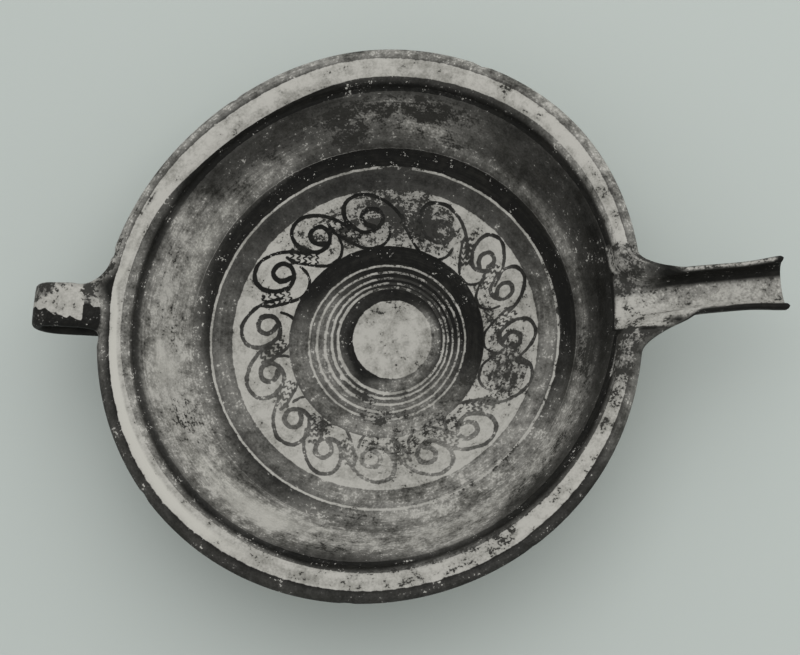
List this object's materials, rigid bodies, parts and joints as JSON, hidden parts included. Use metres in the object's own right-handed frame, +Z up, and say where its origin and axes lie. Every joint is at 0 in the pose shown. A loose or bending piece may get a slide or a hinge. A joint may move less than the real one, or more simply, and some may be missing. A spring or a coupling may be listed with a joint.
{
  "type": "spouted basin",
  "caption": "Wheel-thrown painted clay basin, a bowl-jar with a broad flat rim, one strap loop handle and one long open trough spout.",
  "frame": {"origin": "centre of the flat underside of the foot", "axes": "+Z up out of the bowl, +X along the spout towards its tip"},
  "size_m": [0.3842, 0.2847, 0.0668],
  "materials": {
    "painted_clay": "pale fired clay with worn brown-black painted bands and running spirals, matt to slightly burnished"
  },
  "bodies": {
    "root": {"bowl_jar": "painted_clay"}
  },
  "joints": []
}
